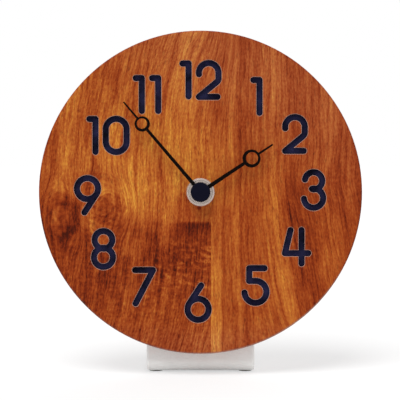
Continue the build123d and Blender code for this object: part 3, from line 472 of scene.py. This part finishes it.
# The knot: an even core, a dark ring that is widest on its right, and fine rings inside.
knot_size = distance(knot_right / knot_half[0], knot_up / knot_half[1]) + edge * 0.12
tone = blend(knot_size.rise(1.05, 0.75), tone, 0.40)
knot_ring = knot_size.rise(0.7, 1.0) * knot_size.rise(1.75, 1.05)
tone = tone - knot_ring * (0.14 + knot_right.rise(-3.0, 6.0) * 0.30)
tone = tone - (knot_size * 11.0).sine() * knot_size.rise(1.3, 0.9) * 0.06

# The dark, flecked field beside the glue line, with a sharp upper end, and two dark specks just
# below the nut.
field_top = -14.4
slant = right + edge * 1.8 + (-15.0 - up) * 0.35
shade = up.rise(field_top, -16.6) * slant.rise(-18.0, -10.0) * (up + edge * 4.0).rise(-70.0, -30.0)
flecks = mottle(grain / 3.4, up / 1.9 + grain / 14.0, out / 3.0)
flecks = flecks + mottle(grain / 7.5, up / 2.8 + grain / 7.0, out / 3.0) * 0.9
tone = tone - shade * 0.27 + shade * flecks.rise(-0.35, 1.3) * up.rise(-17.0, -35.0) * 0.42
band = up.rise(field_top, -16.0) * up.rise(-25.0, -16.0) * (right + edge).rise(-17.0, -9.0)
tone = tone - band * 0.16 + figure[3] * up.rise(-18.0, -40.0) * 0.06
tone = tone - spot(right, up, (-0.8, -8.0), (1.2, 1.6)) * 0.4
tone = tone - spot(right, up, (-2.8, -6.2), (0.9, 1.0)) * 0.3
finish_wood(tree, shader, tone, left_contrast, figure, (right, up, out))
dress(left_wood, "dial_board_left")

# The right board is plainer. Below the hub its bands lean outwards, away from the glue line.
right_contrast = 0.175
right_upper = [
    (5, 0.54), (10, 0.54), (13.5, 0.50), (15.6, 0.68), (17.2, 0.50), (19, 0.44), (24, 0.50), (26, 0.54),
    (29, 0.52), (32, 0.64), (34, 0.55), (37.5, 0.68), (39.5, 0.54), (43, 0.50), (46, 0.46), (50, 0.50),
    (56, 0.52), (60, 0.48), (66, 0.60), (70, 0.52), (76, 0.52), (80, 0.40), (83, 0.46),
]
right_lower = [
    (5, 0.74), (8.5, 0.76), (11, 0.66), (12.2, 0.42), (14, 0.50), (17, 0.54), (18.2, 0.68),
    (19.4, 0.64), (20.2, 0.36), (22, 0.48), (26, 0.54), (31, 0.56), (31.8, 0.72), (32.6, 0.54),
    (34, 0.66), (36.5, 0.78), (39, 0.66), (40.5, 0.46), (43, 0.40), (44.5, 0.26), (47, 0.36),
    (52, 0.38), (57, 0.48), (62, 0.52), (68, 0.46), (73, 0.46), (78, 0.36), (83, 0.42),
]
right_patches = [
    # The first patch is a painted pool of light round the hub, alike on both boards.
    ((6.0, 12.0), (26.0, 26.0), 0.12), ((7.0, -18.0), (5.0, 24.0), -0.14),
    ((17.0, 8.0), (7.0, 12.0), -0.12), ((32.0, -68.0), (11.0, 14.0), 0.06),
    ((47.0, -2.0), (7.0, 16.0), -0.09), ((69.0, 2.0), (7.0, 18.0), -0.12),
    ((39.0, 58.0), (9.0, 16.0), 0.10), ((10.0, -72.0), (10.0, 14.0), 0.09),
    ((66.0, 40.0), (8.0, 16.0), 0.09), ((42.0, 36.0), (5.0, 22.0), 0.07),
    ((66.0, -37.0), (6.0, 15.0), 0.09), ((57.0, 1.0), (9.0, 14.0), -0.11),
    ((23.0, 5.0), (6.0, 18.0), 0.05), ((53.0, -57.5), (6.0, 10.0), 0.08),
    ((12.0, 52.0), (12.0, 12.0), 0.07), ((34.5, -2.0), (5.0, 14.0), 0.08),
    ((22.7, 60.0), (5.0, 20.0), 0.08), ((15.0, 75.0), (3.5, 10.0), 0.09),
    ((40.5, -27.0), (3.5, 14.0), -0.09), ((60.0, -27.0), (5.0, 12.0), -0.05),
    ((50.0, -60.0), (3.0, 7.0), -0.08),
]
right_wood, tree, shader, (right, up, out) = new_material("wood_right")
sway = mottle(right / 30.0, up / 38.0, out / 30.0)
edge = mottle(right / 6.0, up / 9.0, out / 6.0, 3.0)
grain = right - (5.0 - up).at_least(0.0) * right.rise(10.0, 50.0) * 0.16 + sway
grain = grain - grain_lean(up).at_least(0.0) * right.rise(26.0, 5.0)
figure = from_group(tree, grain_group, {"Across": grain, "Along": up, "Deep": out})
lower = (up + edge * 4.0).rise(2.0, -16.0)
tone = blend(lower, tones(grain, right_upper), tones(grain, right_lower))
tone = patched(tone, right, up, edge, right_patches)
finish_wood(tree, shader, tone, right_contrast, figure, (right, up, out))
dress(right_wood, "dial_board_right")


# The navy paint is brushed into the floors of the routed numerals, and dries matt and a little
# uneven. It is the lowest thing on the dial's face.
skin_group, (right, up, out, grain_size) = new_group(
    "skin", ["Right", "Up", "Out", "Grain"], ["Height", "Cloud"]
)
cloud_size = 9.0
cloud = mottle(right / cloud_size, up / cloud_size, out / cloud_size, 4.0, 0.6)
height = mottle(right / grain_size, up / grain_size, out / grain_size)
put(skin_group, "NodeGroupOutput", {"Height": height, "Cloud": cloud * 0.5 + 0.5})


def finish(name, colour, roughness, grain, relief, metallic=0.0, specular=0.5, shaded=0.12, patchy=1.0):
    """A plain paint, plastic, rubber or metal: its fine skin, and slow changes of tone and gloss.

    Grain is the size of the skin's bumps in millimetres, and relief how strongly they show.
    """
    material, tree, shader, (right, up, out) = new_material(name)
    height, cloud = from_group(tree, skin_group, {"Right": right, "Up": up, "Out": out, "Grain": grain})
    darker = tuple(c * (1 - shaded) for c in colour[:3]) + (1,)
    patches = ((cloud - 0.5) * patchy + 0.5).at_least(0.0)
    toned = mix(tree, patches, colour, darker)
    tree.links.new(toned, shader.inputs["Base Color"])
    uneven = cloud * 0.06 + height * 0.03 + (roughness - 0.03)
    tree.links.new(uneven.socket, shader.inputs["Roughness"])
    emboss(tree, height, relief)
    shader.inputs["Metallic"].default_value = metallic
    shader.inputs["Specular IOR Level"].default_value = specular
    return material


numeral_navy = finish(
    "numeral_navy", linear(38, 37, 67), 0.6, 0.5, 0.5, specular=0.04, shaded=0.92, patchy=1.4
)
dress(numeral_navy, "numeral_paint")


# The stand is one steel strap, 3 mm thick with rolled edges, bent into an L behind the dial.
# It is powder coated pale grey, with the faint orange peel of such paint.
dress(finish("stand_coat", linear(238, 238, 236), 0.36, 0.9, 0.35, specular=0.75, shaded=0.05), "stand")


# Two slotted wood screws, zinc plated, hold the strap to the dial, and four rubber discs are
# glued under the foot.
dress(finish("screw_zinc", linear(178, 178, 176), 0.32, 0.25, 0.4, metallic=1.0), "stand_screws")
dress(finish("pad_rubber", linear(132, 130, 122), 0.8, 0.3, 0.7, specular=0.3), "stand_pads")


# A rubber washer between strap and movement takes up the play when the nut is turned down. It is
# punched from black sheet, and matt.
dress(finish("washer_rubber", linear(26, 26, 27), 0.85, 0.25, 0.6, specular=0.3), "gasket_washer")


# The movement's threaded stem is turned brass. It passes through strap and dial, and carries the
# nut in front of them.
dress(finish("stem_brass", linear(214, 176, 104), 0.3, 0.3, 0.4, metallic=1.0), "stem_bushing")


# The round nut is turned from steel and nickel plated. Its front is faced on a lathe, which
# leaves fine rings round the stem.
turned_group, (right, up, out) = new_group("turned", ["Right", "Up", "Out"], ["Rings"])
radius = distance(right, up)
angle = up.join("ARCTAN2", up, right)
rings = mottle(radius / 0.16, angle / 1.2, out / 0.2, 3.0, 0.7)
put(turned_group, "NodeGroupOutput", {"Rings": rings})


def turned_finish(name, colour, roughness, relief=0.25, corner=None):
    """Turned metal with its fine rings round the hands' axis, and a painted shade in a corner's radius.
    """
    material, tree, shader, (right, up, out) = new_material(name)
    (rings,) = from_group(tree, turned_group, {"Right": right, "Up": up, "Out": out})
    darker = tuple(c * 0.6 for c in colour[:3]) + (1,)
    rings_and_shade = rings.rise(0.1, 1.2)
    if corner:
        radius = distance(right, up)
        # A painted shade darkens the corner's radius.
        corner_shade = radius.rise(corner - 0.45, corner - 0.1) * radius.rise(corner + 0.15, corner)
        rings_and_shade = rings_and_shade.at_least(corner_shade)
    tree.links.new(mix(tree, rings_and_shade, colour, darker), shader.inputs["Base Color"])
    tree.links.new((rings * 0.08 + roughness).socket, shader.inputs["Roughness"])
    emboss(tree, rings, relief, 0.00005)
    shader.inputs["Metallic"].default_value = 1.0
    return material


# The nut's warm, pinkish tint is partly the nickel's own and partly a painted reflection of the wooden
# dial.
nut_step_radius = 6.15
# A painted shade darkens the corner of the step on the nut's front.
dress(turned_finish("nut_nickel", linear(194, 179, 170), 0.26, corner=nut_step_radius), "fixing_nut")


# The hands are stamped from 0.4 mm sheet, each with its ring, and sprayed satin black. The hour
# hand is pressed on a brass collet, and the minute hand is held by a domed cap, lacquered navy.
dress(finish("hand_black", linear(11, 6, 5), 0.5, 0.4, 0.2, specular=0.03), "hour_hand", "minute_hand")
dress(turned_finish("collet_brass", linear(205, 168, 98), 0.3), "hour_hand_collet")
dress(finish("cap_navy", linear(11, 11, 28), 0.35, 0.5, 0.15, specular=0.05, shaded=0.3), "hand_cap")


# The movement's tray, its lid and its setting knob are moulded in black plastic with a
# spark-eroded skin.
case_plastic = finish("case_plastic", linear(29, 29, 31), 0.5, 0.22, 0.6, specular=0.3)
dress(case_plastic, "case_front", "case_lid")
dress(finish("knob_plastic", linear(34, 34, 36), 0.42, 0.3, 0.3, specular=0.45), "setting_knob")


# A double arrow beside the knob shows that the hands can be set either way. It is a thin moulding
# of white acetal, pressed into the lid and 0.3 mm proud of it.
lid_back = 0.0197
arrow_radius = 0.0094
arrow_width = 0.0009
arrow_height = 0.0003
arrow_sink = 0.0001
arrow_sweep = math.radians(38)
head_flare = 2.8
head_length = 0.0021
point_share = 0.06
arrow_edge = 0.0001
smooth_below = math.radians(30)
bpy.ops.mesh.primitive_plane_add(size=1, rotation=(math.pi / 2, 0, 0))
arrow = bpy.context.object
arrow.name = "lid_arrow"
arrow.scale = (arrow_width, arrow_height + arrow_sink, 1)
arrow.location = (arrow_radius, 0, (arrow_height - arrow_sink) / 2)
bpy.ops.object.transform_apply()
bpy.ops.object.mode_set(mode="EDIT")
bpy.ops.mesh.select_all(action="SELECT")
bpy.ops.mesh.spin(steps=10, angle=arrow_sweep, center=(0, 0, 0), axis=(0, 0, 1))
bpy.ops.mesh.delete(type="ONLY_FACE")
bpy.ops.mesh.select_all(action="DESELECT")
bpy.ops.object.mode_set(mode="OBJECT")
for face in arrow.data.polygons:
    face.select = abs(face.normal.y) > 0.999 and abs(face.center.y) < 1e-6
bpy.ops.object.mode_set(mode="EDIT")
shaft_end = (arrow_radius, 0, 0)
bpy.ops.mesh.extrude_region_move()
bpy.ops.transform.resize(value=(head_flare, 1, 1), center_override=shaft_end)
bpy.ops.mesh.extrude_region_move(TRANSFORM_OT_translate={"value": (0, -head_length, 0)})
bpy.ops.transform.resize(value=(point_share, 1, 1), center_override=shaft_end)
bpy.ops.object.mode_set(mode="OBJECT")
arrow.rotation_euler.z = -arrow_sweep
bpy.ops.object.transform_apply()
arrow.modifiers.new("other_end", "MIRROR").use_axis = (False, True, False)
bpy.ops.object.modifier_apply(modifier="other_end")
bpy.ops.object.mode_set(mode="EDIT")
bpy.ops.mesh.select_all(action="SELECT")
bpy.ops.mesh.remove_doubles(threshold=1e-6)
bpy.ops.mesh.normals_make_consistent(inside=False)
bpy.ops.object.mode_set(mode="OBJECT")
soft_edge = arrow.modifiers.new("soft_edge", "BEVEL")
soft_edge.width = arrow_edge
soft_edge.segments = 2
bpy.ops.object.modifier_apply(modifier="soft_edge")
bpy.ops.object.shade_smooth_by_angle(angle=smooth_below)
knob_joint = next(j for j in frame["joints"] if j["name"] == "setting_spin")
arrow.location = Vector(knob_joint["pos_m"]) - outward * lid_back
arrow.rotation_euler.x = -math.pi / 2 - dial_lean
bpy.ops.object.transform_apply()
acetal = finish("wheel_acetal", linear(232, 229, 218), 0.35, 0.5, 0.15, specular=0.45, shaded=0.06)
arrow.data.materials.append(acetal)
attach(arrow, "root")
arrow.select_set(False)


# The motion work turns the hour hand twelve times slower than the minute hand. Its wheels and
# arbors are moulded in white acetal; a spring washer makes the friction clutch on the arbor.
dress(acetal, "minute_arbor", "hour_wheel", "minute_wheel", "setting_arbor")
dress(turned_finish("clutch_spring", linear(186, 184, 178), 0.3), "clutch_washer")


# The going train drives the arbor from the motor. It is moulded in the same acetal and runs under
# a bridge that three steel screws hold to the tray.
dress(acetal, "centre_wheel", "third_wheel", "fourth_wheel", "fifth_wheel", "rotor_arbor")
dress(finish("bridge_nylon", linear(206, 208, 204), 0.5, 0.3, 0.3, shaded=0.06), "train_bridge")
small_screw = finish("small_screw", linear(190, 189, 184), 0.28, 0.15, 0.3, metallic=1.0)
dress(small_screw, "bridge_screws", "stator_screws")


# The stepping motor has a ferrite magnet in a stamped iron stator, and a coil of enamelled
# copper wire on a nylon bobbin.
dress(finish("magnet_ferrite", linear(70, 70, 74), 0.45, 0.12, 0.5, metallic=0.4), "rotor_magnet")
iron = finish("stator_iron", linear(172, 171, 167), 0.36, 0.3, 0.3, metallic=1.0)
dress(iron, "stator", "coil_core")
dress(finish("bobbin_nylon", linear(228, 228, 222), 0.4, 0.4, 0.2, shaded=0.05), "coil_bobbin")

copper, tree, shader, (right, up, out) = new_material("winding_copper")
wire_pitch = 0.25
drift = mottle(right / 3.0, up / 2.0, out / 2.0)
turns = (((right + drift * 0.05) / wire_pitch).fraction() * math.pi).sine()
# Each turn of wire is painted lighter on its crest, as a painted highlight, and darker in the crease
# between turns, as painted shade.
copper_crest_highlight, copper_crease_shade = linear(205, 118, 66), linear(120, 52, 26)
tree.links.new(mix(tree, turns.rise(0.0, 0.8), copper_crease_shade, copper_crest_highlight), shader.inputs["Base Color"])
tree.links.new((drift * 0.04 + 0.28).socket, shader.inputs["Roughness"])
emboss(tree, turns, 0.8)
shader.inputs["Metallic"].default_value = 1.0
dress(copper, "coil_winding")


# The circuit board is fibreglass under green solder mask, with copper tracks showing through. It
# carries the quartz crystal in its bright can and the driver chip in black resin.
board, tree, shader, (right, up, out) = new_material("board_mask")
upright_pitch, level_pitch = 1.6, 2.4
across = (right / upright_pitch + 0.3).fraction() - 0.5
along = (up / level_pitch).fraction() - 0.5
route = mottle(right / 4.0, up / 5.0, 0.0, 0.0)
upright_tracks = across.size().rise(0.22, 0.12) * route.rise(-0.1, 0.0)
tracks = upright_tracks.at_least(along.size().rise(0.14, 0.08) * route.rise(0.0, -0.1))
mask_green, track_green = linear(18, 84, 44), linear(62, 138, 70)
tree.links.new(mix(tree, tracks, mask_green, track_green), shader.inputs["Base Color"])
tree.links.new((tracks * 0.08 + 0.3).socket, shader.inputs["Roughness"])
emboss(tree, tracks, 0.4)
dress(board, "circuit_board")
dress(finish("crystal_can", linear(214, 214, 216), 0.16, 0.4, 0.15, metallic=1.0), "quartz_crystal")
dress(finish("chip_resin", linear(22, 22, 22), 0.22, 0.6, 0.25), "driver_chip")


# Two spring contacts, bent from nickel plated strip, are pushed into the bay's ends. They hold the
# cell and carry its current to the board.
contact_nickel = finish("contact_nickel", linear(206, 203, 194), 0.27, 0.35, 0.25, metallic=1.0)
dress(contact_nickel, "positive_contact", "negative_contact")


# The AA cell is a steel can in a printed film sleeve: plain blue, with a silver band at its
# positive end and a plus and a minus so that it goes in the right way round.
dress(finish("cell_steel", linear(200, 200, 200), 0.3, 0.3, 0.2, metallic=1.0), "battery_cell")
sleeve_low, sleeve_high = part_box("battery_sleeve")
sleeve_mid = (sleeve_low + sleeve_high) / 2 - dial_centre
cell_up, cell_out = sleeve_mid.dot(dial_up) * 1000, sleeve_mid.dot(outward) * 1000
mark_inset = 5.0
plus_right = sleeve_low.x * 1000 + mark_inset
minus_right = sleeve_high.x * 1000 - mark_inset
mark_shape = (1.6, 0.35)
band_end = plus_right + 4.0
line_start, line_end = plus_right + 4.8, plus_right + 5.55
print_blur = 0.05
sleeve, tree, shader, (right, up, out) = new_material("cell_sleeve")
height, cloud = from_group(tree, skin_group, {"Right": right, "Up": up, "Out": out, "Grain": 0.6})


def bar(x, y, half_length, half_width):
    """1 inside a small bar and 0 outside it."""
    along = x.size().rise(half_length + print_blur, half_length)
    return along * y.size().rise(half_width + print_blur, half_width)


rear = out.rise(cell_out, cell_out - 0.5)
beside_plus, beside_minus, above_cell = right - plus_right, right - minus_right, up - cell_up
plus = bar(beside_plus, above_cell, *mark_shape).at_least(bar(above_cell, beside_plus, *mark_shape))
minus = bar(beside_minus, above_cell, *mark_shape)
band = right.rise(band_end + print_blur, band_end)
line = right.rise(line_start, line_start + print_blur) * right.rise(line_end, line_end - print_blur)
blue, silver, ink = linear(22, 58, 120), linear(196, 198, 202), linear(24, 26, 34)
printed = mix(tree, band.at_least(line), blue, silver)
printed = mix(tree, plus * rear, printed, ink)
printed = mix(tree, minus * rear, printed, silver)
tree.links.new(printed, shader.inputs["Base Color"])
tree.links.new((cloud * 0.08 + 0.24).socket, shader.inputs["Roughness"])
tree.links.new((band.at_least(line) * 0.6).socket, shader.inputs["Metallic"])
emboss(tree, height, 0.15)
dress(sleeve, "battery_sleeve")
